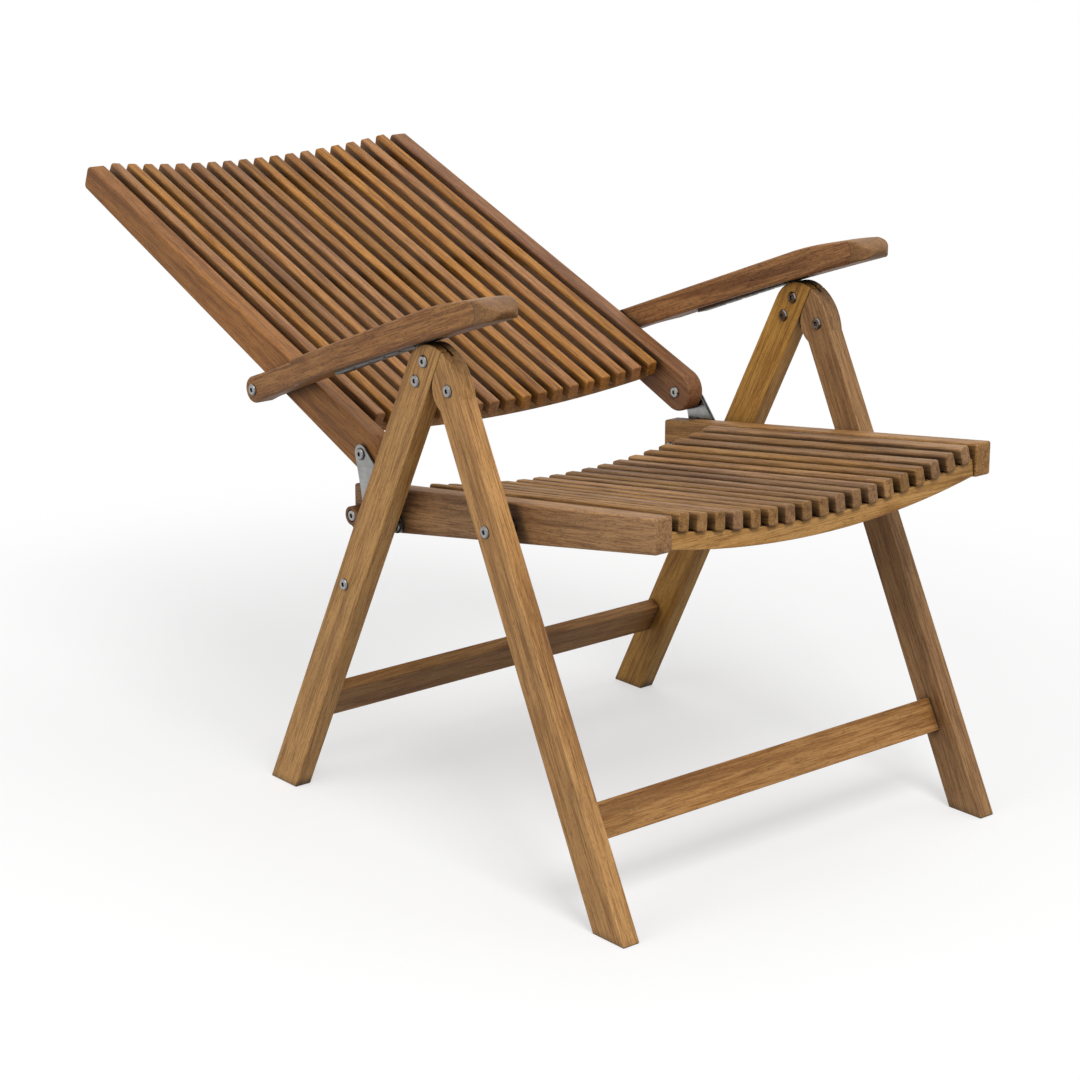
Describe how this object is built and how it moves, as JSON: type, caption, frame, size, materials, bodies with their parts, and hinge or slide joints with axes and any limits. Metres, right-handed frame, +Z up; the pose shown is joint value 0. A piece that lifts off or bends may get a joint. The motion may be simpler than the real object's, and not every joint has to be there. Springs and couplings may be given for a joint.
{
  "type": "folding reclining armchair",
  "caption": "Folding teak garden armchair with crossed legs, a dished slatted seat, a reclining slatted back and armrests with notched steel strips.",
  "frame": {"origin": "centre of the chair's bounding box at floor level", "axes": "+Z up, +X across the chair, +Y towards the back, the seat faces -Y"},
  "size_m": [0.606, 1.0991, 0.6924],
  "materials": {
    "teak_frame": "oiled teak with straight grain along each board",
    "teak_slats": "oiled teak slats, each a little different in tone",
    "teak_arms": "oiled teak, a little redder, rounded edges",
    "steel_bolts": "stainless steel, hex socket heads",
    "steel_plates": "brushed stainless steel plate"
  },
  "bodies": {
    "rear_frame": {"rear_leg_left": "teak_frame", "rear_leg_right": "teak_frame", "rear_stretcher": "teak_frame", "leg_hinge_plate_left": "steel_plates", "leg_hinge_plate_right": "steel_plates", "hinge_plate_bolts": "steel_bolts", "link_leg_bolts": "steel_bolts"},
    "front_frame": {"front_leg_left": "teak_frame", "front_leg_right": "teak_frame", "front_stretcher": "teak_frame", "leg_hinge_bolts": "steel_bolts", "seat_pivot_bolts": "steel_bolts", "seat_pivot_spacers": "steel_bolts"},
    "seat": {"back_hinge_plate_bolts": "steel_bolts", "back_hinge_plate_left": "steel_plates", "back_hinge_plate_right": "steel_plates", "seat_batten_front": "teak_frame", "seat_batten_middle": "teak_frame", "seat_batten_rear": "teak_frame", "seat_rail_left": "teak_frame", "seat_rail_right": "teak_frame", "seat_slat_pair_1": "teak_slats", "seat_slat_pair_2": "teak_slats", "seat_slat_pair_3": "teak_slats", "seat_slat_pair_4": "teak_slats", "seat_slat_pair_5": "teak_slats", "seat_slat_pair_6": "teak_slats", "seat_slat_pair_7": "teak_slats", "seat_slat_pair_8": "teak_slats", "seat_slat_pair_9": "teak_slats"},
    "link_left": {"seat_link_left": "teak_frame", "link_rail_bolt_left": "steel_bolts"},
    "link_right": {"seat_link_right": "teak_frame", "link_rail_bolt_right": "steel_bolts"},
    "back_pivots": {"back_pivot_bolts": "steel_bolts", "back_inner_plate_left": "steel_plates", "back_inner_plate_right": "steel_plates"},
    "back": {"arm_bracket_left": "steel_plates", "arm_bracket_right": "steel_plates", "back_batten_lower": "teak_frame", "back_batten_middle": "teak_frame", "back_batten_upper": "teak_frame", "back_rail_left": "teak_frame", "back_rail_right": "teak_frame", "back_slat_pair_1": "teak_slats", "back_slat_pair_2": "teak_slats", "back_slat_pair_3": "teak_slats", "back_slat_pair_4": "teak_slats", "back_slat_pair_5": "teak_slats", "back_slat_pair_6": "teak_slats", "back_slat_pair_7": "teak_slats", "back_slat_pair_8": "teak_slats", "back_slat_pair_9": "teak_slats"},
    "arm_pivot_left": {"arm_pivot_bolt_left": "steel_bolts", "arm_pivot_plate_left": "steel_plates"},
    "arm_pivot_right": {"arm_pivot_bolt_right": "steel_bolts", "arm_pivot_plate_right": "steel_plates"},
    "arm_left": {"armrest_left": "teak_arms", "arm_strip_left": "steel_plates"},
    "arm_right": {"armrest_right": "teak_arms", "arm_strip_right": "steel_plates"}
  },
  "joints": [
    {"name": "leg_fold", "type": "hinge", "parent": "rear_frame", "child": "front_frame", "pos_m": [0, -0.25801, 0.5443], "axis": [1, 0, 0], "range_deg": [0, 50]},
    {"name": "seat_fold", "type": "hinge", "parent": "front_frame", "child": "seat", "pos_m": [0, -0.32051, 0.402], "axis": [1, 0, 0], "range_deg": [-100, 0]},
    {"name": "link_left_swing", "type": "hinge", "parent": "seat", "child": "link_left", "pos_m": [0, -0.04551, 0.3565], "axis": [1, 0, 0], "range_deg": [-111.5, 0]},
    {"name": "link_right_swing", "type": "hinge", "parent": "seat", "child": "link_right", "pos_m": [0, -0.04551, 0.3565], "axis": [1, 0, 0], "range_deg": [-111.5, 0]},
    {"name": "back_fold", "type": "hinge", "parent": "seat", "child": "back_pivots", "pos_m": [0, -0.05261, 0.4295], "axis": [1, 0, 0], "range_deg": [0, 104.7]},
    {"name": "back_recline", "type": "hinge", "parent": "back_pivots", "child": "back", "pos_m": [0, -0.05261, 0.4295], "axis": [1, 0, 0], "range_deg": [0, 44]},
    {"name": "arm_left_fold", "type": "hinge", "parent": "back", "child": "arm_pivot_left", "pos_m": [0, 0.12859, 0.4759], "axis": [1, 0, 0], "range_deg": [-115, 0]},
    {"name": "arm_right_fold", "type": "hinge", "parent": "back", "child": "arm_pivot_right", "pos_m": [0, 0.12859, 0.4759], "axis": [1, 0, 0], "range_deg": [-115, 0]},
    {"name": "arm_left_tilt", "type": "hinge", "parent": "arm_pivot_left", "child": "arm_left", "pos_m": [0, 0.12859, 0.4759], "axis": [1, 0, 0], "range_deg": [-27.28, 0]},
    {"name": "arm_right_tilt", "type": "hinge", "parent": "arm_pivot_right", "child": "arm_right", "pos_m": [0, 0.12859, 0.4759], "axis": [1, 0, 0], "range_deg": [-27.28, 0]}
  ],
  "couplings": [
    {"joint": "seat_fold", "follows": "leg_fold", "ratio": -2},
    {"joint": "link_left_swing", "follows": "leg_fold", "ratio": -2.23},
    {"joint": "link_right_swing", "follows": "leg_fold", "ratio": -2.23},
    {"joint": "back_fold", "follows": "leg_fold", "ratio": 2.094},
    {"joint": "arm_left_fold", "follows": "leg_fold", "ratio": -2.3},
    {"joint": "arm_right_fold", "follows": "leg_fold", "ratio": -2.3},
    {"joint": "arm_left_tilt", "follows": "back_recline", "ratio": -0.62},
    {"joint": "arm_right_tilt", "follows": "back_recline", "ratio": -0.62}
  ]
}
